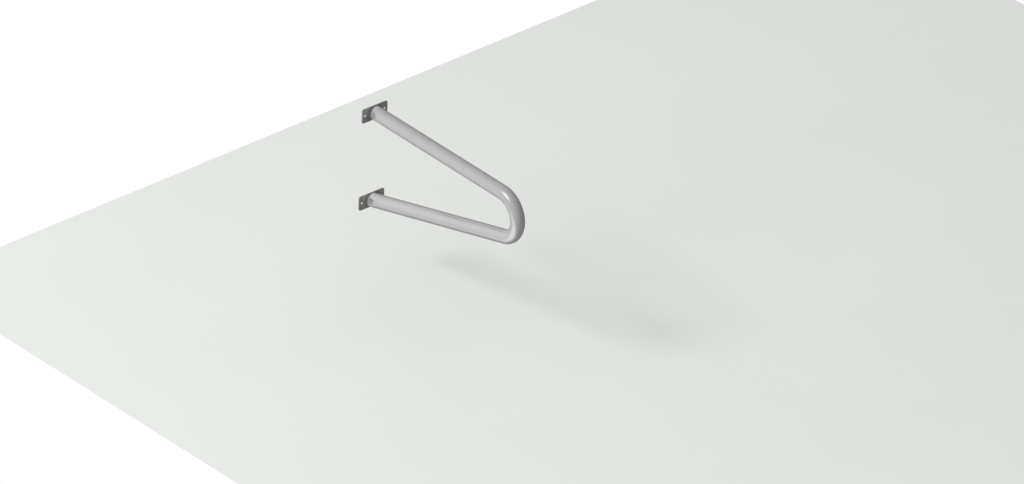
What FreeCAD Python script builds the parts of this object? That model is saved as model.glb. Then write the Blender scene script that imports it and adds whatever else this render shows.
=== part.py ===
"""Wall-mounted hoop bike rack, as a parametric document in millimetres.

The frame's origin is the centre of the upper plate's back face. The wall is the plane Y = 0, X runs
along the wall, Z is up, and the hoop stands out of the wall towards -Y. The tube leaves the upper plate
square, turns back at its free end, and meets the lower plate at a slant that follows from the height
between the plates.
"""

import FreeCAD, Part

import math
import os

import Sketcher
from FreeCAD import Placement, Rotation, Vector

# Driving dimensions: alias, value in millimetres, meaning
DIMENSIONS = [
    ("reach", 920, "wall to the outside of the bend"),
    ("leg_spacing", 410, "height between the centres of the two plates"),
    ("bend_radius", 99, "radius of the bend at the tube's centre line"),
    ("tube_diameter", 60.3, "outside diameter of the tube"),
    ("tube_wall", 2.6, "wall thickness of the tube"),
    ("plate_width", 132, "plate along the wall"),
    ("plate_height", 64, "plate up the wall"),
    ("plate_thickness", 6, "plate out of the wall"),
    ("plate_corner", 8, "radius of the plate's four corners"),
    ("plate_edge", 0.8, "radius on the plate's front edge"),
    ("hole_spacing", 103, "between the centres of a plate's two holes"),
    ("hole_diameter", 12, "hole for a wall anchor"),
    ("weld_leg", 4, "leg of the weld bead on the plate and along the tube"),
    ("weld_land", 0.4, "width of the bead's thin edge on the tube"),
]

# Sizes that follow from the driving ones: alias, formula, meaning
FOLLOWING = [
    ("tube_radius", "=Dimensions.tube_diameter / 2", "outside radius of the tube"),
    ("upper_run", "=Dimensions.reach - tube_radius - Dimensions.bend_radius - Dimensions.plate_thickness",
     "upper plate's front face to the start of the bend"),
    ("centre_drop", "=Dimensions.leg_spacing - Dimensions.bend_radius",
     "lower plate's centre to the height of the bend's centre"),
    ("lower_slope", "=atan(centre_drop / upper_run)"
     " - asin(Dimensions.bend_radius / sqrt(centre_drop ^ 2 + upper_run ^ 2))",
     "angle between the lower leg and the upper one"),
]

# The sketcher's numbers for a point of a curve, and for a sketch's own origin and axes
LINE_START, LINE_END, CENTRE = 1, 2, 3
SKETCH_ORIGIN = (-1, 1)
SKETCH_AXIS_ACROSS = -1
SKETCH_AXIS_UP = -2


def make_sheet(doc, name, rows):
    """Write rows of alias, content and meaning into a new spreadsheet."""
    sheet = doc.addObject("Spreadsheet::Sheet", name)
    for row, (alias, content, meaning) in enumerate(rows, start=1):
        sheet.set(f"A{row}", alias)
        sheet.set(f"B{row}", str(content))
        sheet.set(f"C{row}", meaning)
        sheet.setAlias(f"B{row}", alias)
    doc.recompute()
    return sheet


def number(value):
    """A sheet's value as a bare number, in millimetres or degrees."""
    return float(getattr(value, "Value", value))


def make_body(doc, name, label):
    """A PartDesign body whose label names the piece."""
    body = doc.addObject("PartDesign::Body", name)
    body.Label = label
    return body


def origin_plane(body, role):
    """One of a body's own origin planes."""
    return next(feature for feature in body.Origin.OriginFeatures if feature.Role == role)


def make_sketch(body, name, role, in_front=None):
    """A sketch on one of the body's origin planes, moved along its normal by an expression."""
    sketch = body.newObject("Sketcher::SketchObject", name)
    sketch.AttachmentSupport = [(origin_plane(body, role), "")]
    sketch.MapMode = "FlatFace"
    if in_front:
        sketch.setExpression("AttachmentOffset.Base.z", in_front)
    return sketch


def constrain(sketch, kind, *where, name=None, expression=None):
    """Add a constraint, and bind it to an expression where it is a size."""
    index = sketch.addConstraint(Sketcher.Constraint(kind, *where))
    if expression:
        sketch.renameConstraint(index, name)
        sketch.setExpression(f"Constraints.{name}", expression)


def add_circle(sketch, radius, diameter_name, diameter):
    """A circle about the sketch's origin with a bound diameter."""
    circle = sketch.addGeometry(Part.Circle(Vector(), Vector(0, 0, 1), radius))
    constrain(sketch, "Coincident", circle, CENTRE, *SKETCH_ORIGIN)
    constrain(sketch, "Diameter", circle, 2 * radius, name=diameter_name, expression=diameter)
    return circle


def add_rectangle(sketch, half_width, half_height, width, height, centre_drop=None):
    """A rectangle with bound sizes, centred on the origin or a bound distance below it."""
    low = -2 * half_height if centre_drop else 0
    corners = [Vector(across * half_width, low + up * half_height)
               for across, up in ((-1, -1), (1, -1), (1, 1), (-1, 1))]
    sides = [sketch.addGeometry(Part.LineSegment(corners[side], corners[(side + 1) % 4]))
             for side in range(4)]
    bottom, right, top, left = sides
    for side in range(4):
        constrain(sketch, "Coincident", sides[side], LINE_END, sides[(side + 1) % 4], LINE_START)
    for side in (bottom, top):
        constrain(sketch, "Horizontal", side)
    for side in (left, right):
        constrain(sketch, "Vertical", side)
    constrain(sketch, "DistanceX", bottom, LINE_START, bottom, LINE_END, 2 * half_width,
              name="width", expression=width)
    constrain(sketch, "DistanceY", right, LINE_START, right, LINE_END, 2 * half_height,
              name="height", expression=height)
    middle = sketch.addGeometry(Part.Point(Vector(0, low)), True)
    constrain(sketch, "Symmetric", bottom, LINE_START, top, LINE_START, middle, LINE_START)
    if centre_drop:
        constrain(sketch, "PointOnObject", middle, LINE_START, SKETCH_AXIS_UP)
        constrain(sketch, "DistanceY", middle, LINE_START, *SKETCH_ORIGIN, -low,
                  name="drop", expression=centre_drop)
    else:
        constrain(sketch, "Coincident", middle, LINE_START, *SKETCH_ORIGIN)


def edge_names(shape, wanted):
    """Names of the edges of a shape that pass a test."""
    return [f"Edge{count}" for count, edge in enumerate(shape.Edges, start=1) if wanted(edge)]


def make_hoop_tube(doc, sizes, following):
    """The bent tube: a ring swept along two straight legs and the bend between them."""
    body = make_body(doc, "HoopTube", "hoop_tube")
    run, drop = number(following.upper_run), number(sizes.leg_spacing)
    radius, plate = number(sizes.bend_radius), number(sizes.plate_thickness)
    slope = math.radians(number(following.lower_slope))

    centre_line = make_sketch(body, "CentreLine", "YZ_Plane")
    bend_centre = Vector(-plate - run, -radius)
    bend_end = bend_centre + Vector(-math.sin(slope), -math.cos(slope)) * radius
    lower_end = Vector(plate, -drop - 2 * plate * math.tan(slope))
    upper = centre_line.addGeometry(Part.LineSegment(Vector(-plate, 0), Vector(-plate - run, 0)))
    bend_circle = Part.Circle(bend_centre, Vector(0, 0, 1), radius)
    bend = centre_line.addGeometry(Part.ArcOfCircle(bend_circle, math.pi / 2, 1.5 * math.pi - slope))
    lower = centre_line.addGeometry(Part.LineSegment(bend_end, lower_end))
    seat = centre_line.addGeometry(Part.Point(Vector(-plate, -drop)), True)
    constrain(centre_line, "PointOnObject", upper, LINE_START, SKETCH_AXIS_ACROSS)
    constrain(centre_line, "Horizontal", upper)
    constrain(centre_line, "Tangent", upper, LINE_END, bend, LINE_START)
    constrain(centre_line, "Tangent", bend, LINE_END, lower, LINE_START)
    constrain(centre_line, "PointOnObject", seat, LINE_START, lower)
    constrain(centre_line, "Radius", bend, radius, name="bend", expression="Dimensions.bend_radius")
    constrain(centre_line, "DistanceX", upper, LINE_START, *SKETCH_ORIGIN, plate,
              name="start", expression="Dimensions.plate_thickness")
    constrain(centre_line, "DistanceX", upper, LINE_END, upper, LINE_START, run,
              name="run", expression="Following.upper_run")
    constrain(centre_line, "DistanceX", seat, LINE_START, *SKETCH_ORIGIN, plate,
              name="seat", expression="Dimensions.plate_thickness")
    constrain(centre_line, "DistanceY", seat, LINE_START, *SKETCH_ORIGIN, drop,
              name="drop", expression="Dimensions.leg_spacing")
    constrain(centre_line, "DistanceX", *SKETCH_ORIGIN, lower, LINE_END, plate,
              name="overrun", expression="Dimensions.plate_thickness")

    ring = make_sketch(body, "Ring", "XZ_Plane", "Dimensions.plate_thickness")
    outside = number(following.tube_radius)
    add_circle(ring, outside, "outside", "Dimensions.tube_diameter")
    add_circle(ring, outside - number(sizes.tube_wall), "inside",
               "Dimensions.tube_diameter - 2 * Dimensions.tube_wall")

    sweep = body.newObject("PartDesign::AdditivePipe", "Bend")
    sweep.Profile = ring
    sweep.Spine = (centre_line, ["Edge1", "Edge2", "Edge3"])
    doc.recompute()

    # The lower leg runs on behind the plate's front face, and this cut gives it its slanted end
    cut_sketch = make_sketch(body, "SlantedEndSketch", "XZ_Plane", "Dimensions.plate_thickness")
    add_rectangle(cut_sketch, outside * 2, outside * 2, "2 * Dimensions.tube_diameter",
                  "2 * Dimensions.tube_diameter", centre_drop="Dimensions.leg_spacing")
    slanted_end = body.newObject("PartDesign::Pocket", "SlantedEnd")
    slanted_end.Profile = cut_sketch
    slanted_end.Type = "ThroughAll"
    doc.recompute()
    expect_cut(sweep, slanted_end)
    return body


def make_wall_plate(doc, sizes, name, label, height=None):
    """A flat plate with rounded corners, an eased front edge and two anchor holes."""
    body = make_body(doc, name, label)
    thickness = number(sizes.plate_thickness)

    outline = make_sketch(body, "Outline", "XZ_Plane")
    add_rectangle(outline, number(sizes.plate_width) / 2, number(sizes.plate_height) / 2,
                  "Dimensions.plate_width", "Dimensions.plate_height")
    blank = body.newObject("PartDesign::Pad", "Blank")
    blank.Profile = outline
    blank.setExpression("Length", "Dimensions.plate_thickness")
    doc.recompute()

    corners = body.newObject("PartDesign::Fillet", "Corners")
    corners.Base = (blank, edge_names(blank.Shape, lambda edge: abs(edge.tangentAt(0).y) > 0.5))
    corners.setExpression("Radius", "Dimensions.plate_corner")
    doc.recompute()

    eased = body.newObject("PartDesign::Fillet", "EasedEdge")
    eased.Base = (corners, edge_names(corners.Shape, lambda edge: is_level(edge, -thickness)))
    eased.setExpression("Radius", "Dimensions.plate_edge")
    doc.recompute()

    hole_sketch = make_sketch(body, "AnchorHoleSketch", "XZ_Plane", "Dimensions.plate_thickness")
    radius = number(sizes.hole_diameter) / 2
    across = number(sizes.hole_spacing) / 2
    circle = hole_sketch.addGeometry(Part.Circle(Vector(across, 0), Vector(0, 0, 1), radius))
    constrain(hole_sketch, "PointOnObject", circle, CENTRE, SKETCH_AXIS_ACROSS)
    constrain(hole_sketch, "DistanceX", *SKETCH_ORIGIN, circle, CENTRE, across,
              name="across", expression="Dimensions.hole_spacing / 2")
    constrain(hole_sketch, "Diameter", circle, 2 * radius,
              name="diameter", expression="Dimensions.hole_diameter")
    doc.recompute()
    hole = body.newObject("PartDesign::Hole", "AnchorHole")
    hole.Profile = hole_sketch
    hole.DepthType = "ThroughAll"
    hole.setExpression("Diameter", "Dimensions.hole_diameter")
    doc.recompute()
    expect_cut(eased, hole)

    pair = body.newObject("PartDesign::Mirrored", "AnchorHolePair")
    pair.Originals = [hole]
    pair.MirrorPlane = (origin_plane(body, "YZ_Plane"), [""])
    body.Tip = pair
    doc.recompute()
    expect_cut(hole, pair)

    if height:
        body.setExpression("Placement.Base.z", height)
    return body


def is_level(edge, distance):
    """Whether an edge lies wholly in the plane Y = distance."""
    box = edge.BoundBox
    return abs(box.YMin - distance) < 1e-6 and abs(box.YMax - distance) < 1e-6


def make_weld_bead(doc, name, label, slope, height=None):
    """A fillet bead round the joint of a tube and its plate, trimmed level with the plate.

    The bead is built in the joint's own frame: its X axis is up the wall and its Z axis out of it. The
    tube's axis leaves the plate at the slope, towards X, so the joint is oval where the slope isn't 0.
    """
    across = "(Following.tube_radius + {0})"
    along = "(Following.tube_radius / cos({1}) + {0})"

    toe = doc.addObject("Part::Ellipse", f"{name}Toe")
    toe.setExpression("MajorRadius", along.format("Dimensions.weld_leg", slope))
    toe.setExpression("MinorRadius", across.format("Dimensions.weld_leg"))

    crown = doc.addObject("Part::Ellipse", f"{name}Crown")
    crown.setExpression("MajorRadius", along.format("Dimensions.weld_land", slope))
    crown.setExpression("MinorRadius", across.format("Dimensions.weld_land"))
    crown.setExpression("Placement.Base.x", f"Dimensions.weld_leg * tan({slope})")
    crown.setExpression("Placement.Base.z", "Dimensions.weld_leg")

    collar = doc.addObject("Part::Loft", f"{name}Collar")
    collar.Sections = [toe, crown]
    collar.Solid = True
    collar.Ruled = True

    tube_space = doc.addObject("Part::Cylinder", f"{name}TubeSpace")
    tube_space.Placement = Placement(Vector(), Rotation(Vector(0, 1, 0), 0))
    tube_space.setExpression("Radius", "Following.tube_radius")
    tube_space.setExpression("Height", "2 * Dimensions.tube_diameter")
    tube_space.setExpression("Placement.Rotation.Angle", slope)
    tube_space.setExpression("Placement.Base.x", f"-Dimensions.tube_diameter * sin({slope})")
    tube_space.setExpression("Placement.Base.z", f"-Dimensions.tube_diameter * cos({slope})")

    ring = doc.addObject("Part::Cut", f"{name}Ring")
    ring.Base = collar
    ring.Tool = tube_space

    plate_space = doc.addObject("Part::Box", f"{name}PlateSpace")
    plate_space.setExpression("Length", "Dimensions.plate_height")
    plate_space.setExpression("Width", "Dimensions.plate_width")
    plate_space.setExpression("Height", "Dimensions.weld_leg")
    plate_space.setExpression("Placement.Base.x", "-Dimensions.plate_height / 2")
    plate_space.setExpression("Placement.Base.y", "-Dimensions.plate_width / 2")

    bead = doc.addObject("Part::Common", name)
    bead.Label = label
    bead.Base = ring
    bead.Tool = plate_space
    bead.Placement = Placement(Vector(), Rotation(Vector(0, 0, 1), Vector(-1, 0, 0), Vector(0, -1, 0)))
    bead.setExpression("Placement.Base.y", "-Dimensions.plate_thickness")
    if height:
        bead.setExpression("Placement.Base.z", height)
    doc.recompute()
    expect_cut(collar, ring)
    return bead


def expect_cut(before, after):
    """Stop if a feature that should remove material removed none."""
    if not after.Shape.Volume < before.Shape.Volume - 1:
        raise RuntimeError(f"{after.Label} cuts nothing")


def check_document(doc, pieces):
    """Stop if an object failed to recompute or a piece is empty or broken."""
    for thing in doc.Objects:
        if "Invalid" in thing.State or "Error" in thing.State:
            raise RuntimeError(f"{thing.Label}: {thing.State}")
    for piece in pieces:
        shape = piece.Shape
        if shape.isNull() or not shape.isValid() or len(shape.Solids) != 1:
            raise RuntimeError(f"{piece.Label} is not one valid solid")


def check_tube(tube, sizes, following):
    """Compare the tube's volume with its ring section times the length of its centre line."""
    outside = number(following.tube_radius)
    inside = outside - number(sizes.tube_wall)
    section = math.pi * (outside ** 2 - inside ** 2)
    slope = math.radians(number(following.lower_slope))
    radius = number(sizes.bend_radius)
    upper = number(following.upper_run)
    lower = (upper + radius * math.sin(slope)) / math.cos(slope)
    length = upper + radius * (math.pi - slope) + lower
    error = tube.Shape.Volume / (section * length) - 1
    print(f"slope {math.degrees(slope):.3f} degrees, centre line {length:.1f} mm, volume off by {error:.2e}")
    if abs(error) > 1e-3:
        raise RuntimeError("the tube's sweep has the wrong volume")


def main():
    """Build the rack and write each piece to its own file."""
    doc = FreeCAD.newDocument("HoopBikeRack")
    sizes = make_sheet(doc, "Dimensions", DIMENSIONS)
    following = make_sheet(doc, "Following", FOLLOWING)
    lower_height = "-Dimensions.leg_spacing"

    tube = make_hoop_tube(doc, sizes, following)
    pieces = [
        tube,
        make_wall_plate(doc, sizes, "UpperPlate", "upper_plate"),
        make_wall_plate(doc, sizes, "LowerPlate", "lower_plate", lower_height),
        make_weld_bead(doc, "UpperWeld", "upper_weld", "0 deg"),
        make_weld_bead(doc, "LowerWeld", "lower_weld", "Following.lower_slope", lower_height),
    ]
    doc.recompute()
    check_document(doc, pieces)
    check_tube(tube, sizes, following)

    os.makedirs("parts", exist_ok=True)
    for piece in pieces:
        box = piece.Shape.optimalBoundingBox(False, False)
        print(f"{piece.Label}: {piece.Shape.Volume / 1000:.2f} cm3,"
              f" {box.XLength:.1f} x {box.YLength:.1f} x {box.ZLength:.1f} mm")
        piece.Shape.exportStep(f"parts/{piece.Label}.step")


main()
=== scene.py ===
"""Wall-mounted hoop rack: one bent steel tube on two welded plates, dressed over its solids."""

import logging
import math
from dataclasses import dataclass
from enum import Enum

import bmesh
import bpy
from mathutils import Matrix, Vector


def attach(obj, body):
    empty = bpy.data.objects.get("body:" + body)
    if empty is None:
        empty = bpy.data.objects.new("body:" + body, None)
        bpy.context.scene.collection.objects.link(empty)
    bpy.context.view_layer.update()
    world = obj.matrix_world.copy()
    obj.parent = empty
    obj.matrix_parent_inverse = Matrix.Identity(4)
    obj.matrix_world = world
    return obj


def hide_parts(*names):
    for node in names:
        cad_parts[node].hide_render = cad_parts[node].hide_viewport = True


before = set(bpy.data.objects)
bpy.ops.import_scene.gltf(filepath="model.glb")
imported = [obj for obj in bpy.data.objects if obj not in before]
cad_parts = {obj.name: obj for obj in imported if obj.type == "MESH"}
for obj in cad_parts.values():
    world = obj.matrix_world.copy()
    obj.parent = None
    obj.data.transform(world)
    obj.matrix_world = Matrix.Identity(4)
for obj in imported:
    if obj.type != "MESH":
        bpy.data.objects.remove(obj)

LOG = logging.getLogger("hoop_rack")

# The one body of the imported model
BODY = "root"

Socket = bpy.types.NodeSocket
Colour = tuple[float, float, float]
Triple = tuple[float, float, float]
Span = tuple[float, float]
Number = Socket | float
Paint = Socket | Colour
NodeValue = Socket | float | tuple[float, ...]

# The Mix node's sockets for colours: its factor and two colours in, and their mix out
MIX_FACTOR, MIX_FIRST, MIX_SECOND = 0, 6, 7
MIX_OUT = 2

# Attributes on the meshes: the place on the straight tube before it was bent, and the share of wear
# at a plate's rim, which on a weld is the share of painted shade towards its toe
BENT_PATH = "run"
WORN_RIM = "rim"

# Points nearer than this, in metres, are one point
SAME_POINT = 1e-7

# Turns a circle that lies level so that it faces out of the wall
FACING_OUT = Matrix.Rotation(math.pi / 2, 4, "X")

WHITE = (1.0, 1.0, 1.0, 1.0)

# Share of the light that the steel mirrors where it is seen nearly edge on
GRAZING_TINT = (0.75, 0.75, 0.75, 1.0)


class Leg(Enum):
    """The two legs of the hoop, each with its own plate and weld."""

    UPPER = "upper"
    LOWER = "lower"


class Grain(Enum):
    """The way a steel surface was last ground."""

    ROUND = "round the tube"
    ALONG = "along the plate"


@dataclass(frozen=True)
class HoopSizes:
    """The driving sizes of the rack in metres, the same values as the solids are drawn from."""

    reach: float = 0.920
    leg_spacing: float = 0.410
    bend_radius: float = 0.099
    tube_diameter: float = 0.0603
    tube_wall: float = 0.0026
    plate_width: float = 0.132
    plate_height: float = 0.064
    plate_thickness: float = 0.006
    plate_corner: float = 0.008
    hole_spacing: float = 0.103
    hole_diameter: float = 0.012
    weld_leg: float = 0.004

    @property
    def tube_radius(self) -> float:
        """Outside radius of the tube."""
        return self.tube_diameter / 2

    @property
    def upper_run(self) -> float:
        """Straight length of the upper leg, from the plate's face to the bend."""
        return self.reach - self.tube_radius - self.bend_radius - self.plate_thickness

    @property
    def lower_slope(self) -> float:
        """Works out the lower leg's slope, which keeps both legs tangent to the bend.

        Returns:
            The angle, in radians, at which the lower leg climbs away from the wall.
        """
        drop = self.leg_spacing - self.bend_radius
        straight = math.hypot(drop, self.upper_run)
        return math.atan2(drop, self.upper_run) - math.asin(self.bend_radius / straight)

    @property
    def bend_angle(self) -> float:
        """Angle, in radians, that the tube turns through in its bend."""
        return math.pi - self.lower_slope

    @property
    def bend_centre(self) -> Vector:
        """Centre of the bend's arc."""
        return Vector((0.0, -self.plate_thickness - self.upper_run, -self.bend_radius))

    @property
    def lower_run(self) -> float:
        """Length of the lower leg's centre line, from the bend to the plate's face."""
        slope = self.lower_slope
        return (self.upper_run + self.bend_radius * math.sin(slope)) / math.cos(slope)

    def slope(self, leg: Leg) -> float:
        """Angle, in radians, between a leg and the level."""
        return self.lower_slope if leg is Leg.LOWER else 0.0

    def plate_centre(self, leg: Leg) -> Vector:
        """Centre of a plate's back face, on the wall."""
        return Vector((0.0, 0.0, 0.0 if leg is Leg.UPPER else -self.leg_spacing))


@dataclass(frozen=True)
class Speckle:
    """A noise: its cells per metre along each axis, its octaves, and the finer ones' strength."""

    cells: Triple
    octaves: float
    strength: float = 0.5


@dataclass(frozen=True)
class Ramp:
    """A smooth step: the values where it starts and ends, and what it gives at each of them."""

    start: float
    end: float
    first: float = 0.0
    last: float = 1.0

    def raised(self, amount: float) -> "Ramp":
        """The same step, giving that much more all along."""
        return Ramp(self.start, self.end, self.first + amount, self.last + amount)


# Spreads the middle values of a noise, where nearly all of it lies, from 0 to 1
SPREAD = Ramp(0.3, 0.7)


def shaded(colour: Colour, factor: float) -> Colour:
    """A colour made lighter or darker by a factor, but never brighter than 1."""
    return tuple(min(channel * factor, 1.0) for channel in colour)


class NodeBench:
    """Adds and joins the nodes of one material or world."""

    def __init__(self, owner: bpy.types.Material | bpy.types.World) -> None:
        """Clears the owner's nodes.

        Args:
            owner: The material or world whose nodes are built.
        """
        owner.use_nodes = True
        self.tree = owner.node_tree
        self.tree.nodes.clear()

    def add(
        self, kind: str, inputs: dict[str | int, NodeValue] | None = None, **settings: str | bool
    ) -> bpy.types.Node:
        """Adds one node.

        Args:
            kind: The node's type name, without its ShaderNode prefix.
            inputs: A value or another node's socket for each input, by name or number.
            **settings: The node's own properties.

        Returns:
            The new node.
        """
        node = self.tree.nodes.new("ShaderNode" + kind)
        for name, value in settings.items():
            setattr(node, name, value)
        for key, value in (inputs or {}).items():
            if isinstance(value, Socket):
                self.tree.links.new(value, node.inputs[key])
            else:
                node.inputs[key].default_value = value
        return node

    def noise(self, at: Socket, speckle: Speckle) -> Socket:
        """Adds a noise that has its own scale along each axis.

        Args:
            at: The coordinates.
            speckle: The noise's scale and octaves.

        Returns:
            The noise's value, about 0.5 on average.
        """
        placed = self.add("Mapping", {"Vector": at, "Scale": speckle.cells}).outputs[0]
        inputs = {
            "Vector": placed, "Scale": 1.0,
            "Detail": speckle.octaves, "Roughness": speckle.strength,
        }
        return self.add("TexNoise", inputs).outputs[0]

    def ramp(self, value: Socket, step: Ramp) -> Socket:
        """Adds a clamped, smooth map from one range to another.

        Args:
            value: The number to map.
            step: The range, and what its ends become.

        Returns:
            The mapped number.
        """
        inputs = {
            "Value": value, "From Min": step.start, "From Max": step.end,
            "To Min": step.first, "To Max": step.last,
        }
        return self.add("MapRange", inputs, interpolation_type="SMOOTHSTEP").outputs[0]

    def combine(
        self, operation: str, first: Number, second: Number = 0.0, clamp: bool = False
    ) -> Socket:
        """Adds one of the Math node's operations on numbers, kept from 0 to 1 if clamped."""
        node = self.add("Math", {0: first, 1: second}, operation=operation, use_clamp=clamp)
        return node.outputs[0]

    def relief(self, height: Socket, depth: float, strength: float) -> Socket:
        """Adds a bump of that many metres and that strength, and gives the normal that it makes."""
        inputs = {"Strength": strength, "Distance": depth, "Height": height}
        return self.add("Bump", inputs).outputs[0]

    def blend(self, factor: Number, first: Paint, second: Paint) -> Socket:
        """Adds a mix of two colours.

        Args:
            factor: Share of the second colour.
            first: The first colour or socket.
            second: The second colour or socket.

        Returns:
            The mixed colour.
        """
        ends = [end if isinstance(end, Socket) else (*end, 1.0) for end in (first, second)]
        inputs = {MIX_FACTOR: factor, MIX_FIRST: ends[0], MIX_SECOND: ends[1]}
        return self.add("Mix", inputs, data_type="RGBA", clamp_factor=True).outputs[MIX_OUT]


@dataclass(frozen=True)
class SteelMarks:
    """The patterns on a steel surface, from which its colour and its gloss are worked out."""

    grain: Socket
    clouds: Socket
    smears: Socket
    rim: Socket
    from_weld: Socket
    band: Socket


@dataclass(frozen=True)
class SatinSteel:
    """Satin steel, part mirror and part matte, with fine grain, faint clouds and rubbed rims.

    Beside a weld it has a heat tint, which the plates set dark as painted shade round the tube's
    foot, and where it was pickled a paler and duller band that reaches further. Lengths are in
    metres, a share is from 0 to 1, and a shade multiplies a colour.
    """

    name: str
    sizes: HoopSizes
    grain: Grain
    colour: Colour
    roughness: float
    mirror: float
    grain_per_metre: float = 1400.0
    grain_stretch: float = 70.0
    grain_octaves: float = 3.0
    grain_strength: float = 0.6
    grain_depth: float = 0.000012
    grain_relief: float = 0.5
    grain_contrast: float = 0.02
    grain_dulling: Ramp = Ramp(0.25, 0.75, -0.02, 0.02)
    clouds: Speckle = Speckle((14.0, 14.0, 14.0), 4.0)
    cloud_share: Ramp = Ramp(0.35, 0.7, 0.0, 0.16)
    cloud_shade: float = 0.86
    smears: Speckle = Speckle((38.0, 9.0, 38.0), 5.0, 0.62)
    smear_dulling: Ramp = Ramp(0.3, 0.72, -0.035, 0.05)
    rim_share: Ramp = Ramp(0.38, 0.62, 0.25, 0.85)
    rim_shade: float = 1.22
    rim_polish: float = 0.05
    # Heat tint beside the weld; the plates set it dark, as painted shade in a ring round the tube's
    # foot
    tint: Colour = (0.50, 0.44, 0.35)
    tint_reach: float = 0.009
    tint_core: float = 0.4
    tint_share: float = 0.22
    pickled: Colour = (0.67, 0.67, 0.665)
    pickled_reach: float = 0.024
    pickled_core: float = 0.5
    pickled_share: float = 0.0
    pickled_dulling: float = 0.28
    ragged_edge: float = 0.006

    def _coordinates(self, bench: NodeBench) -> Socket:
        """Finds the coordinates that the grain follows.

        Args:
            bench: The material's nodes.

        Returns:
            The place on the unbent tube, or the object's own coordinates.
        """
        if self.grain is Grain.ROUND:
            return bench.add("Attribute", attribute_name=BENT_PATH).outputs["Vector"]
        return bench.add("TexCoord").outputs["Object"]

    def _scratches(self) -> Speckle:
        """Works out the grain's noise.

        Returns:
            The noise, with fine cells across the grain and long ones down it.
        """
        fine, long = self.grain_per_metre, self.grain_per_metre / self.grain_stretch
        cells = (long, fine, long) if self.grain is Grain.ROUND else (long, fine, fine)
        return Speckle(cells, self.grain_octaves, self.grain_strength)

    def _from_weld(self, bench: NodeBench) -> Socket:
        """Finds how far a point is from the corner where tube and plate meet.

        Args:
            bench: The material's nodes.

        Returns:
            The distance in metres, out along the tube or across the plate.
        """
        s = self.sizes
        x, y, z = bench.add("SeparateXYZ", {0: bench.add("TexCoord").outputs["Object"]}).outputs
        if self.grain is Grain.ROUND:
            return bench.combine("SUBTRACT", -s.plate_thickness, y)
        half = s.leg_spacing / 2
        from_middle = bench.combine("ABSOLUTE", bench.combine("ADD", z, half))
        # Height above or below the centre of the nearer plate
        height = bench.combine("SUBTRACT", from_middle, half)
        sideways = bench.combine("MULTIPLY", x, x)
        square = bench.combine("ADD", sideways, bench.combine("MULTIPLY", height, height))
        past_tube = bench.combine("SUBTRACT", bench.combine("SQRT", square), s.tube_radius)
        return bench.combine("ABSOLUTE", past_tube)

    def _marks(self, bench: NodeBench) -> SteelMarks:
        """Lays out the surface's patterns.

        Args:
            bench: The material's nodes.

        Returns:
            The patterns.
        """
        at = self._coordinates(bench)
        grain = bench.noise(at, self._scratches())
        clouds = bench.noise(at, self.clouds)
        smears = bench.noise(at, self.smears)
        ragged = bench.combine("MULTIPLY", clouds, self.ragged_edge)
        from_weld = bench.combine("SUBTRACT", self._from_weld(bench), ragged)
        rim = bench.add("Attribute", attribute_name=WORN_RIM).outputs["Fac"]
        core = self.pickled_reach * self.pickled_core
        band = bench.ramp(from_weld, Ramp(core, self.pickled_reach, self.pickled_share, 0.0))
        return SteelMarks(grain, clouds, smears, rim, from_weld, band)

    def _colouring(self, bench: NodeBench, marks: SteelMarks) -> Socket:
        """Works out the colour, in order: grain, clouds, pickled band, heat tint, which on the
        plates is painted shade round the tube's foot, and rubbed rims.

        Args:
            bench: The material's nodes.
            marks: The surface's patterns.

        Returns:
            The base colour.
        """
        light = shaded(self.colour, 1 + self.grain_contrast)
        dark = shaded(self.colour, 1 - self.grain_contrast)
        body = bench.blend(bench.ramp(marks.grain, SPREAD), dark, light)
        cloudy = bench.ramp(marks.clouds, self.cloud_share)
        clouded = bench.blend(cloudy, body, shaded(self.colour, self.cloud_shade))
        core = self.tint_reach * self.tint_core
        heat = bench.ramp(marks.from_weld, Ramp(core, self.tint_reach, self.tint_share, 0.0))
        tinted = bench.blend(heat, bench.blend(marks.band, clouded, self.pickled), self.tint)
        rubbed = bench.combine("MULTIPLY", marks.rim, bench.ramp(marks.smears, self.rim_share))
        return bench.blend(rubbed, tinted, shaded(self.colour, self.rim_shade))

    def _dulling(self, bench: NodeBench, marks: SteelMarks) -> Socket:
        """Works out the roughness: smears and grain, duller where pickled, polished at the rims.

        Args:
            bench: The material's nodes.
            marks: The surface's patterns.

        Returns:
            The roughness.
        """
        dull = bench.ramp(marks.smears, self.smear_dulling.raised(self.roughness))
        dull = bench.combine("ADD", dull, bench.ramp(marks.grain, self.grain_dulling))
        pickling = bench.combine("MULTIPLY", marks.band, self.pickled_dulling)
        dull = bench.combine("ADD", dull, pickling)
        polish = bench.combine("MULTIPLY", marks.rim, self.rim_polish)
        return bench.combine("SUBTRACT", dull, polish, clamp=True)

    def material(self) -> bpy.types.Material:
        """Builds the finish.

        Returns:
            The node material.
        """
        made = bpy.data.materials.new(self.name)
        bench = NodeBench(made)
        marks = self._marks(bench)
        shader = bench.add("BsdfPrincipled", {
            "Base Color": self._colouring(bench, marks),
            "Roughness": self._dulling(bench, marks),
            "Metallic": self.mirror,
            "Specular Tint": GRAZING_TINT,
            "Normal": bench.relief(marks.grain, self.grain_depth, self.grain_relief),
        })
        bench.add("OutputMaterial", {0: shader.outputs[0]})
        return made


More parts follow.
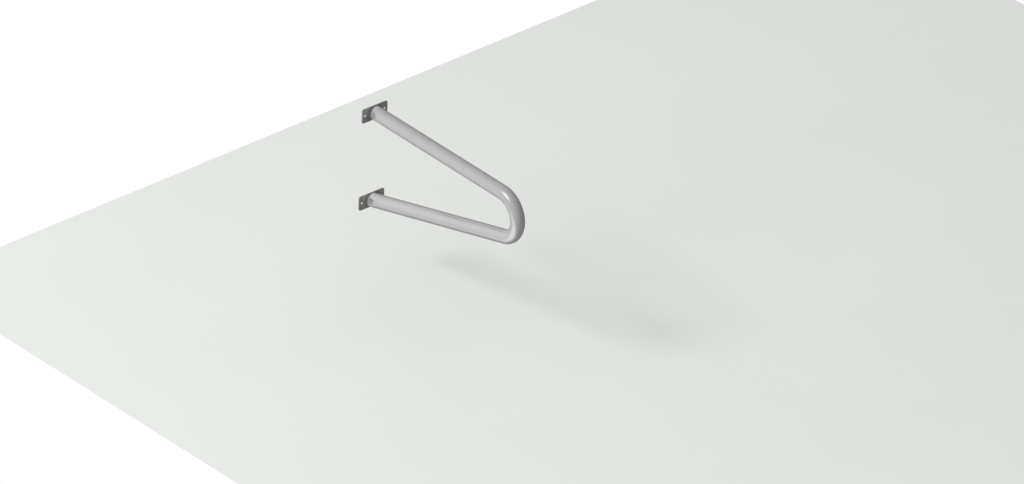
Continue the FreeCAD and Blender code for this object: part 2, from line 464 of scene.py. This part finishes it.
@dataclass(frozen=True)
class CleanedWeld:
    """A brushed weld: finely pitted, darker than the tube partly as painted shade, and darkest
    where it meets the plate, as painted shade in the corner.

    The depth of its pits is in metres.
    """

    name: str = "cleaned_weld"
    # Darker than the tube partly by its own tone and partly as painted shade; the toe colour is
    # painted shade in the corner on the plate
    colour: Colour = (0.21, 0.208, 0.202)
    toe: Colour = (0.15, 0.145, 0.133)
    roughness: float = 0.32
    mirror: float = 0.75
    pits: Speckle = Speckle((900.0, 900.0, 900.0), 4.0, 0.62)
    pit_depth: float = 0.00002
    pit_relief: float = 0.3
    pit_shades: Span = (0.9, 1.08)
    patches: Speckle = Speckle((160.0, 160.0, 160.0), 3.0)
    patch_dulling: Ramp = Ramp(0.3, 0.7, -0.06, 0.08)
    toe_share: Ramp = Ramp(0.3, 0.7, 0.2, 0.8)

    def material(self) -> bpy.types.Material:
        """Builds the finish.

        Returns:
            The node material.
        """
        made = bpy.data.materials.new(self.name)
        bench = NodeBench(made)
        at = bench.add("TexCoord").outputs["Object"]
        pits = bench.noise(at, self.pits)
        patches = bench.noise(at, self.patches)
        edge = bench.add("Attribute", attribute_name=WORN_RIM).outputs["Fac"]
        dark, light = (shaded(self.colour, shade) for shade in self.pit_shades)
        body = bench.blend(bench.ramp(pits, SPREAD), dark, light)
        # Painted shade: the weld darkens towards its toe, in the corner on the plate
        tint = bench.combine("MULTIPLY", edge, bench.ramp(patches, self.toe_share))
        shader = bench.add("BsdfPrincipled", {
            "Base Color": bench.blend(tint, body, self.toe),
            "Roughness": bench.ramp(patches, self.patch_dulling.raised(self.roughness)),
            "Metallic": self.mirror,
            "Specular Tint": GRAZING_TINT,
            "Normal": bench.relief(pits, self.pit_depth, self.pit_relief),
        })
        bench.add("OutputMaterial", {0: shader.outputs[0]})
        return made


def turn_outwards(mesh: bmesh.types.BMesh) -> None:
    """Points all faces of a closed shape outwards.

    Args:
        mesh: The bmesh.
    """
    bmesh.ops.recalc_face_normals(mesh, faces=mesh.faces[:])
    if mesh.calc_volume(signed=True) < 0.0:
        bmesh.ops.reverse_faces(mesh, faces=mesh.faces[:])


def finish_piece(
    mesh: bmesh.types.BMesh, name: str, node: str, dress: bpy.types.Material
) -> bpy.types.Object:
    """Turns a finished bmesh into a piece that stands for one solid.

    Args:
        mesh: The bmesh, which is freed.
        name: The piece's name.
        node: The solid that the piece replaces.
        dress: The piece's material.

    Returns:
        The piece, at the origin, riding on the rack's one body.
    """
    bmesh.ops.remove_doubles(mesh, verts=mesh.verts[:], dist=SAME_POINT)
    for face in mesh.faces:
        face.smooth = True
    data = bpy.data.meshes.new(name)
    mesh.to_mesh(data)
    mesh.free()
    data.materials.append(dress)
    piece = bpy.data.objects.new(name, data)
    bpy.context.scene.collection.objects.link(piece)
    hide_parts(node)
    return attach(piece, BODY)


@dataclass
class HoopTube:
    """The bent tube: a ring drawn along the upper leg, round the bend and back along the lower leg.

    The lower leg is drawn a spare length past the plate's face, and is then cut off along it.
    Lengths are in metres.
    """

    sizes: HoopSizes
    dress: bpy.types.Material
    sides: int = 128
    leg_steps: int = 12
    bend_steps: int = 72
    spare_length: float = 0.004
    sharp_edge: float = math.radians(40)

    def _draw_out(
        self, mesh: bmesh.types.BMesh, edges: list[bmesh.types.BMEdge], way: Vector
    ) -> list[bmesh.types.BMEdge]:
        """Extends an open ring in a straight line.

        Args:
            mesh: The bmesh.
            edges: The open ring's edges.
            way: How far the ring goes, and in which direction.

        Returns:
            The new open ring's edges.
        """
        for _ in range(self.leg_steps):
            grown = bmesh.ops.extrude_edge_only(mesh, edges=edges)["geom"]
            corners = [g for g in grown if isinstance(g, bmesh.types.BMVert)]
            edges = [g for g in grown if isinstance(g, bmesh.types.BMEdge)]
            bmesh.ops.translate(mesh, verts=corners, vec=way / self.leg_steps)
        return edges

    def _shell(self, mesh: bmesh.types.BMesh) -> None:
        """Draws the tube's outside, with its lower end reaching past the face of the lower plate.

        Args:
            mesh: The empty bmesh.
        """
        s = self.sizes
        start = Matrix.Translation((0.0, -s.plate_thickness, 0.0)) @ FACING_OUT
        bmesh.ops.create_circle(
            mesh, cap_ends=False, segments=self.sides, radius=s.tube_radius, matrix=start
        )
        ring = self._draw_out(mesh, mesh.edges[:], Vector((0.0, -s.upper_run, 0.0)))
        corners = list(dict.fromkeys(v for e in ring for v in e.verts))
        turned = bmesh.ops.spin(
            mesh, geom=corners + ring, cent=s.bend_centre, axis=(1.0, 0.0, 0.0), angle=s.bend_angle,
            steps=self.bend_steps, use_merge=False, use_duplicate=False,
        )
        ring = [g for g in turned["geom_last"] if isinstance(g, bmesh.types.BMEdge)]
        homeward = Vector((0.0, math.cos(s.lower_slope), -math.sin(s.lower_slope)))
        spare = s.tube_radius * math.tan(s.lower_slope) + self.spare_length
        self._draw_out(mesh, ring, homeward * (s.lower_run + spare))

    def _wall(self, mesh: bmesh.types.BMesh) -> None:
        """Gives the shell its wall, then cuts the slanted end flush with the plate and closes it.

        Args:
            mesh: The bmesh that holds the shell.
        """
        s = self.sizes
        bmesh.ops.recalc_face_normals(mesh, faces=mesh.faces[:])
        bmesh.ops.solidify(mesh, geom=mesh.faces[:], thickness=s.tube_wall)
        bmesh.ops.bisect_plane(
            mesh, geom=mesh.verts[:] + mesh.edges[:] + mesh.faces[:], dist=SAME_POINT,
            plane_co=(0.0, -s.plate_thickness, 0.0), plane_no=(0.0, 1.0, 0.0), clear_outer=True,
        )
        bmesh.ops.bridge_loops(mesh, edges=[e for e in mesh.edges if e.is_boundary])
        for edge in mesh.edges:
            if edge.is_manifold and edge.calc_face_angle(0.0) > self.sharp_edge:
                edge.smooth = False

    def _unbend(self, point: Vector) -> Vector:
        """Finds where a point of the hoop lay on the straight tube before it was bent.

        Args:
            point: A point on the bent tube.

        Returns:
            The point with its length along the tube as y, and its place across the tube as x and z.
        """
        s = self.sizes
        arm = point - s.bend_centre
        # 0 where the bend starts, growing round it towards the lower leg
        turned = math.atan2(-arm.y, arm.z)
        if turned < -math.pi / 2 - s.lower_slope / 2:
            turned += math.tau
        if turned <= 0.0 or (arm.y > 0.0 and arm.z > 0.0):
            return Vector((point.x, -s.plate_thickness - point.y, point.z))
        if turned >= s.bend_angle:
            arc = s.bend_radius * s.bend_angle
            back = Matrix.Rotation(s.bend_angle, 3, "X") @ arm
            return Vector((point.x, s.upper_run + arc - back.y, back.z - s.bend_radius))
        across = math.hypot(arm.y, arm.z) - s.bend_radius
        return Vector((point.x, s.upper_run + s.bend_radius * turned, across))

    def build(self) -> bpy.types.Object:
        """Builds and dresses the tube.

        Returns:
            The piece.
        """
        mesh = bmesh.new()
        self._shell(mesh)
        self._wall(mesh)
        path = mesh.verts.layers.float_vector.new(BENT_PATH)
        for vert in mesh.verts:
            vert[path] = self._unbend(vert.co)
        return finish_piece(mesh, "bent_tube", "hoop_tube", self.dress)


@dataclass
class WallPlate:
    """One wall plate, in metres: a rounded bar with two anchor holes, its rims eased and rubbed."""

    sizes: HoopSizes
    leg: Leg
    dress: bpy.types.Material
    corner_steps: int = 10
    hole_sides: int = 56
    rim: float = 0.0005
    rim_steps: int = 3
    rim_angle: float = math.radians(60)

    def _outline(self, mesh: bmesh.types.BMesh) -> None:
        """Draws the plate's edge and its two holes as loops on the wall, and fills between them.

        Args:
            mesh: The empty bmesh.
        """
        s = self.sizes
        x, z = s.plate_width / 2, s.plate_height / 2
        places = ((-x, -z), (x, -z), (x, z), (-x, z))
        corners = [mesh.verts.new((right, 0.0, up)) for right, up in places]
        mesh.faces.new(corners)
        bmesh.ops.bevel(
            mesh, geom=corners, offset=s.plate_corner, offset_type="OFFSET", affect="VERTICES",
            segments=self.corner_steps, profile=0.5, material=-1,
        )
        bmesh.ops.delete(mesh, geom=mesh.faces[:], context="FACES_ONLY")
        for side in (-0.5, 0.5):
            place = Matrix.Translation((side * s.hole_spacing, 0.0, 0.0)) @ FACING_OUT
            bmesh.ops.create_circle(
                mesh, cap_ends=False, segments=self.hole_sides,
                radius=s.hole_diameter / 2, matrix=place,
            )
        bmesh.ops.triangle_fill(
            mesh, use_beauty=True, use_dissolve=False, edges=mesh.edges[:], normal=(0.0, -1.0, 0.0)
        )

    def build(self) -> bpy.types.Object:
        """Builds and dresses the plate.

        Returns:
            The piece.
        """
        s = self.sizes
        mesh = bmesh.new()
        worn = mesh.verts.layers.float.new(WORN_RIM)
        self._outline(mesh)
        grown = bmesh.ops.extrude_face_region(mesh, geom=mesh.faces[:])["geom"]
        front = [g for g in grown if isinstance(g, bmesh.types.BMVert)]
        bmesh.ops.translate(mesh, verts=front, vec=(0.0, -s.plate_thickness, 0.0))
        turn_outwards(mesh)
        rims = [e for e in mesh.edges if e.is_manifold and e.calc_face_angle(0.0) > self.rim_angle]
        eased = bmesh.ops.bevel(
            mesh, geom=rims, offset=self.rim, offset_type="OFFSET", affect="EDGES",
            segments=self.rim_steps, profile=0.5, material=-1,
        )
        for vert in eased["verts"]:
            vert[worn] = 1.0
        bmesh.ops.translate(mesh, verts=mesh.verts[:], vec=s.plate_centre(self.leg))
        name, node = f"{self.leg.value}_wall_plate", f"{self.leg.value}_plate"
        piece = finish_piece(mesh, name, node, self.dress)
        piece.modifiers.new("flat_faces", "WEIGHTED_NORMAL").keep_sharp = True
        return piece


@dataclass(frozen=True)
class Wave:
    """A sine round the tube: its size, how many of it go round, and its start in radians."""

    size: float
    count: int
    start: float

    def at(self, turn: float) -> float:
        """The wave's height at one angle round the tube, in radians."""
        return self.size * math.sin(self.count * turn + self.start)


@dataclass
class RootWeld:
    """The fillet weld round one end of the tube: a crowned bead of overlapping crescents.

    It is spun as a round bead at the origin, and then leaned and stretched to the slant of its leg.
    Lengths are in metres, but the waves of wander shift the crescents by parts of a radian.
    """

    sizes: HoopSizes
    leg: Leg
    dress: bpy.types.Material
    pitch: float = 0.0021
    steps_per_ripple: int = 8
    across: int = 8
    crown: float = 0.0006
    ripple: float = 0.00008
    crescent_bow: float = 3.2
    wander: tuple[Wave, ...] = (Wave(0.70, 3, 1.1), Wave(0.44, 7, 0.4))
    swell: Wave = Wave(0.00018, 5, 2.0)
    sunk_in_tube: float = 0.0006
    sunk_in_plate: float = 0.0003
    root_share: float = 0.9
    plate_margin: float = 0.00015
    narrowing: float = 0.0004
    nearly_level: float = 0.05

    def _section(self, mesh: bmesh.types.BMesh) -> list[bmesh.types.BMEdge]:
        """Draws the bead's cut face as a closed loop, up the crowned side and back by the root.

        Args:
            mesh: The empty bmesh.

        Returns:
            The loop's edges.
        """
        s = self.sizes
        toe = Vector((s.tube_radius + s.weld_leg, 0.0, 0.0))
        top = Vector((s.tube_radius, -s.weld_leg, 0.0))
        outward = Vector((1.0, -1.0, 0.0)).normalized()
        line = []
        for step in range(self.across + 1):
            share = step / self.across
            line.append(toe.lerp(top, share) + outward * self.crown * math.sin(math.pi * share))
        inside, leg = s.tube_radius - self.sunk_in_tube, s.weld_leg * self.root_share
        line.append(Vector((inside, -leg, 0.0)))
        line.append(Vector((inside, self.sunk_in_plate, 0.0)))
        line.append(Vector((s.tube_radius + leg, self.sunk_in_plate, 0.0)))
        corners = [mesh.verts.new(point) for point in line]
        return [mesh.edges.new(pair) for pair in zip(corners, corners[1:] + corners[:1])]

    def _foot(self, turn: float) -> float:
        """Finds the width of the bead's foot at one angle, narrowed where the plate's edge is near.

        Args:
            turn: Angle round the tube, 0 level and a quarter turn at the top.

        Returns:
            How far the toe lies from the tube.
        """
        s = self.sizes
        edge = (s.plate_height / 2 - self.plate_margin) * math.cos(s.slope(self.leg))
        room = edge / max(abs(math.sin(turn)), self.nearly_level) - s.tube_radius
        # The lesser of the bead's leg and the room, with a soft change from one to the other
        soft = self.narrowing
        return -soft * math.log(math.exp(-s.weld_leg / soft) + math.exp(-room / soft))

    def _raise_crescents(self, mesh: bmesh.types.BMesh, ripples: int) -> None:
        """Raises the crescents on the round bead, fits its foot to the plate, and marks its toe.

        Args:
            mesh: The bmesh that holds the bead.
            ripples: How many crescents go round.
        """
        s = self.sizes
        toe = mesh.verts.layers.float.new(WORN_RIM)
        for vert in mesh.verts:
            reach = math.hypot(vert.co.x, vert.co.z) - s.tube_radius
            rise = -vert.co.y
            # The root inside the tube's wall stays as it is
            if reach < -self.sunk_in_tube / 2:
                continue
            share = min(max(rise / max(rise + reach, SAME_POINT), 0.0), 1.0)
            turn = math.atan2(vert.co.z, vert.co.x)
            wander = sum(wave.at(turn) for wave in self.wander)
            phase = ripples * turn + wander + self.crescent_bow * (2 * share - 1) ** 2
            arch = max(math.sin(math.pi * share), 0.0)
            lift = self.ripple * (0.5 + 0.5 * math.cos(phase)) * math.sqrt(arch)
            away = Vector((vert.co.x, 0.0, vert.co.z)).normalized()
            vert.co += away * reach * (self._foot(turn) / s.weld_leg - 1.0)
            outward = (away - Vector((0.0, 1.0, 0.0))).normalized()
            vert.co += outward * (lift + self.swell.at(turn) * arch)
            # The toe's share of painted shade, growing towards the plate
            vert[toe] = (1.0 - share) ** 2

    def _seat(self, mesh: bmesh.types.BMesh) -> None:
        """Stretches and leans the round bead to the slanted tube, and moves it onto the plate.

        Args:
            mesh: The bmesh that holds the bead.
        """
        s = self.sizes
        slope = s.slope(self.leg)
        bmesh.ops.scale(mesh, verts=mesh.verts[:], vec=(1.0, 1.0, 1.0 / math.cos(slope)))
        lean = Matrix.Identity(4)
        lean[2][1] = -math.tan(slope)
        bmesh.ops.transform(mesh, matrix=lean, verts=mesh.verts[:])
        place = s.plate_centre(self.leg) + Vector((0.0, -s.plate_thickness, 0.0))
        bmesh.ops.translate(mesh, verts=mesh.verts[:], vec=place)

    def build(self) -> bpy.types.Object:
        """Builds and dresses the weld.

        Returns:
            The piece.
        """
        mesh = bmesh.new()
        section = self._section(mesh)
        ripples = round(math.tau * self.sizes.tube_radius / self.pitch)
        bmesh.ops.spin(
            mesh, geom=mesh.verts[:] + section, cent=(0.0, 0.0, 0.0), axis=(0.0, 1.0, 0.0),
            angle=math.tau, steps=ripples * self.steps_per_ripple,
            use_merge=True, use_duplicate=False,
        )
        bmesh.ops.remove_doubles(mesh, verts=mesh.verts[:], dist=SAME_POINT)
        turn_outwards(mesh)
        self._raise_crescents(mesh, ripples)
        self._seat(mesh)
        name, node = f"{self.leg.value}_root_weld", f"{self.leg.value}_weld"
        return finish_piece(mesh, name, node, self.dress)


@dataclass(frozen=True)
class PhotoView:
    """The photograph's viewpoint, fitted to the plates, legs and bend. Angles are in degrees."""

    heading: float = 47.846
    dip: float = 31.048
    roll: float = 2.513
    pixels_per_metre: float = 248.175
    plate_pixel: Span = (375.054, 112.279)
    image_size: tuple[int, int] = (1024, 484)
    lens: float = 500.0
    sensor: float = 36.0
    clip: Span = (1.0, 400.0)

    def _axes(self) -> tuple[Vector, Vector, Vector]:
        """Turns the three angles into directions.

        Returns:
            The camera's right, up and forward directions.
        """
        a, e, c = (math.radians(angle) for angle in (self.heading, self.dip, self.roll))
        level = Vector((math.sin(a), -math.cos(a), 0.0))
        ahead = Vector((math.cos(a) * math.cos(e), math.sin(a) * math.cos(e), -math.sin(e)))
        above = Vector((math.cos(a) * math.sin(e), math.sin(a) * math.sin(e), math.cos(e)))
        right = math.cos(c) * level + math.sin(c) * above
        up = math.cos(c) * above - math.sin(c) * level
        return right, up, ahead

    def place(self, sizes: HoopSizes) -> bpy.types.Object:
        """Sets up the camera.

        Args:
            sizes: The rack's sizes, for the plate face that the view is tied to.

        Returns:
            The camera, which is also made the scene's.
        """
        right, up, ahead = self._axes()
        width, height = self.image_size
        target = Vector((0.0, -sizes.plate_thickness, 0.0))
        away = width * self.lens / self.sensor / self.pixels_per_metre
        aside = (self.plate_pixel[0] - width / 2) / self.pixels_per_metre
        over = (height / 2 - self.plate_pixel[1]) / self.pixels_per_metre
        spot = target - ahead * away - right * aside - up * over
        camera = bpy.data.objects.new("photo_camera", bpy.data.cameras.new("photo_camera"))
        camera.data.lens, camera.data.sensor_width = self.lens, self.sensor
        camera.data.clip_start, camera.data.clip_end = self.clip
        facing = Matrix((right, up, -ahead)).transposed().to_4x4()
        camera.matrix_world = Matrix.Translation(spot) @ facing
        bpy.context.scene.collection.objects.link(camera)
        bpy.context.scene.camera = camera
        return camera


def direction(azimuth: float, elevation: float) -> Vector:
    """Unit direction from an azimuth, 0 along +Y and 90 along +X, and an elevation, in degrees."""
    a, e = math.radians(azimuth), math.radians(elevation)
    return Vector((math.sin(a) * math.cos(e), math.cos(a) * math.cos(e), math.sin(e)))


@dataclass(frozen=True)
class SoftFace:
    """The glowing face of a soft light as the steel mirrors it, brightest in its middle.

    Its place and its spread, from middle to rim, are in degrees, and its glow is a share of white.
    """

    azimuth: float
    elevation: float
    spread: float
    glow: float


@dataclass(frozen=True)
class SoftLamp:
    """A square lamp that lights rack and floor. Angles are in degrees, and lengths in metres."""

    name: str
    azimuth: float
    elevation: float
    distance: float
    size: float
    watts: float


@dataclass
class Studio:
    """The pale floor, the white surround, the lamps and the gauze tent that the steel mirrors.

    Lengths are in metres. The floor's corners go round it anticlockwise, so that it faces up.
    """

    floor_drop: float = 0.750
    floor_corners: tuple[Span, ...] = (
        (-1.394, -3.993), (3.681, -3.993), (3.566, 1.103), (-1.509, 1.045),
    )
    floor_colour: Colour = (0.745, 0.768, 0.738)
    floor_mottle: float = 0.006
    floor_speckle: Speckle = Speckle((1.3, 1.3, 1.3), 5.0)
    floor_roughness: float = 0.95
    fill_level: float = 0.72
    middle: Triple = (0.0, -0.48, -0.20)
    tent_radius: float = 9.0
    tent_facets: int = 4
    tent_dark_side: Span = (125.0, -19.0)
    tent_clear_share: float = 0.70
    tent_dark_share: float = 0.13
    faces: tuple[SoftFace, ...] = (
        SoftFace(-81.5, -48.5, 38.0, 0.70),
        SoftFace(-81.0, 44.0, 20.5, 1.20),
        SoftFace(-9.0, -4.0, 56.0, 0.24),
    )
    lamps: tuple[SoftLamp, ...] = (
        SoftLamp("key_softbox", -68.0, 42.0, 16.0, 4.4, 980.0),
        SoftLamp("side_softbox", -96.0, 30.0, 16.0, 5.4, 320.0),
    )

    def _put(
        self, mesh: bmesh.types.BMesh, name: str, dress: bpy.types.Material
    ) -> bpy.types.Object:
        """Makes a stage object of a finished bmesh.

        Args:
            mesh: The bmesh, which is freed.
            name: The object's name.
            dress: Its material.

        Returns:
            The object.
        """
        data = bpy.data.meshes.new(name)
        mesh.to_mesh(data)
        mesh.free()
        data.materials.append(dress)
        placed = bpy.data.objects.new(name, data)
        bpy.context.scene.collection.objects.link(placed)
        return placed

    def _floor_dress(self) -> bpy.types.Material:
        """Builds the floor's finish: matte, pale and very faintly mottled.

        Returns:
            The node material.
        """
        made = bpy.data.materials.new("pale_floor")
        bench = NodeBench(made)
        at = bench.add("TexCoord").outputs["Object"]
        mottle = bench.ramp(bench.noise(at, self.floor_speckle), SPREAD)
        dark = shaded(self.floor_colour, 1 - self.floor_mottle)
        light = shaded(self.floor_colour, 1 + self.floor_mottle)
        shader = bench.add("BsdfPrincipled", {
            "Base Color": bench.blend(mottle, dark, light),
            "Roughness": self.floor_roughness,
            "Specular IOR Level": 0.0,
        })
        bench.add("OutputMaterial", {0: shader.outputs[0]})
        return made

    def floor(self) -> bpy.types.Object:
        """Lays the pale floor.

        Returns:
            The floor, which the steel doesn't mirror.
        """
        mesh = bmesh.new()
        mesh.faces.new([mesh.verts.new((x, y, -self.floor_drop)) for x, y in self.floor_corners])
        slab = self._put(mesh, "floor", self._floor_dress())
        slab.visible_glossy = False
        return slab

    def surround(self) -> None:
        """Makes the surround white to the camera and the steel, but a plain fill as a light."""
        world = bpy.data.worlds.new("studio")
        bpy.context.scene.world = world
        bench = NodeBench(world)
        path = bench.add("LightPath").outputs
        seen = bench.combine("ADD", path["Is Camera Ray"], path["Is Glossy Ray"], clamp=True)
        seen = bench.combine("ADD", seen, path["Is Transmission Ray"], clamp=True)
        fill = bench.add("Background", {"Color": WHITE, "Strength": self.fill_level})
        white = bench.add("Background", {"Color": WHITE, "Strength": 1.0})
        both = bench.add("MixShader", {0: seen, 1: fill.outputs[0], 2: white.outputs[0]})
        bench.add("OutputWorld", {0: both.outputs[0]})

    def hang(self, lamp: SoftLamp) -> bpy.types.Object:
        """Hangs one soft lamp that points at the rack.

        Args:
            lamp: The lamp's place, size and power.

        Returns:
            The lamp, which the steel doesn't mirror.
        """
        light = bpy.data.lights.new(lamp.name, "AREA")
        light.shape, light.size, light.energy = "SQUARE", lamp.size, lamp.watts
        hung = bpy.data.objects.new(lamp.name, light)
        toward = direction(lamp.azimuth, lamp.elevation)
        hung.location = Vector(self.middle) + toward * lamp.distance
        hung.rotation_euler = toward.to_track_quat("Z", "Y").to_euler()
        hung.visible_camera = hung.visible_glossy = False
        bpy.context.scene.collection.objects.link(hung)
        return hung

    def _tent_dress(self) -> bpy.types.Material:
        """Builds the gauze: clear towards the lamps, darker on the far side, with its soft faces.

        Returns:
            The node material.
        """
        made = bpy.data.materials.new("gauze_tent")
        bench = NodeBench(made)
        at = bench.add("TexCoord").outputs["Object"]
        way = bench.add("VectorMath", {0: at}, operation="NORMALIZE").outputs[0]

        def along(azimuth: float, elevation: float) -> Socket:
            """How far a point of the tent lies towards one direction, from -1 to 1."""
            inputs = {0: way, 1: tuple(direction(azimuth, elevation))}
            return bench.add("VectorMath", inputs, operation="DOT_PRODUCT").outputs["Value"]

        gauze = {
            "Value": along(*self.tent_dark_side), "From Min": -1.0, "From Max": 1.0,
            "To Min": self.tent_clear_share, "To Max": self.tent_dark_share,
        }
        let_through = bench.add("MapRange", gauze).outputs[0]
        shader = bench.add("BsdfTransparent", {0: let_through}).outputs[0]
        for face in self.faces:
            rim = math.cos(math.radians(face.spread))
            glow = bench.ramp(along(face.azimuth, face.elevation), Ramp(rim, 1.0, 0.0, face.glow))
            lit = bench.add("Emission", {"Color": WHITE, "Strength": glow}).outputs[0]
            shader = bench.add("AddShader", {0: shader, 1: lit}).outputs[0]
        bench.add("OutputMaterial", {0: shader})
        made.cycles.emission_sampling = "NONE"
        return made

    def tent(self) -> bpy.types.Object:
        """Pitches the gauze tent round the rack.

        Returns:
            The tent, which only the steel mirrors.
        """
        mesh = bmesh.new()
        bmesh.ops.create_icosphere(mesh, subdivisions=self.tent_facets, radius=self.tent_radius)
        pitched = self._put(mesh, "gauze_tent", self._tent_dress())
        pitched.location = self.middle
        pitched.visible_camera = pitched.visible_diffuse = pitched.visible_shadow = False
        pitched.visible_transmission = pitched.visible_volume_scatter = False
        return pitched

    def build(self) -> None:
        """Sets up the whole studio."""
        bpy.context.scene.view_settings.view_transform = "Standard"
        self.floor()
        self.surround()
        self.tent()
        for lamp in self.lamps:
            self.hang(lamp)


def main() -> None:
    """Sets up the camera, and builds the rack's pieces and the studio."""
    logging.basicConfig(level=logging.INFO, format="%(message)s")
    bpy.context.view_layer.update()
    sizes = HoopSizes()
    PhotoView().place(sizes)
    tube_steel = SatinSteel(
        "satin_tube_steel", sizes, Grain.ROUND,
        colour=(0.62, 0.62, 0.615), roughness=0.22, mirror=0.75, pickled_share=0.9,
    )
    plate_steel = SatinSteel(
        "satin_plate_steel", sizes, Grain.ALONG,
        # Painted shade: the plates' colour is set far darker than the tube's, for fronts that face
        # away from the light
        colour=(0.28, 0.28, 0.278), roughness=0.28, mirror=0.50,
        # Painted shade: a dark ring on the plate round the tube, set as its tint
        tint=(0.15, 0.137, 0.12), tint_reach=0.014, tint_share=0.6,
    )
    plate_dress, weld_dress = plate_steel.material(), CleanedWeld().material()
    pieces = [HoopTube(sizes, tube_steel.material()).build()]
    for leg in Leg:
        pieces.append(WallPlate(sizes, leg, plate_dress).build())
        pieces.append(RootWeld(sizes, leg, weld_dress).build())
    for piece in pieces:
        LOG.info("built %s with %d faces", piece.name, len(piece.data.polygons))
    Studio().build()


if __name__ == "__main__":
    main()
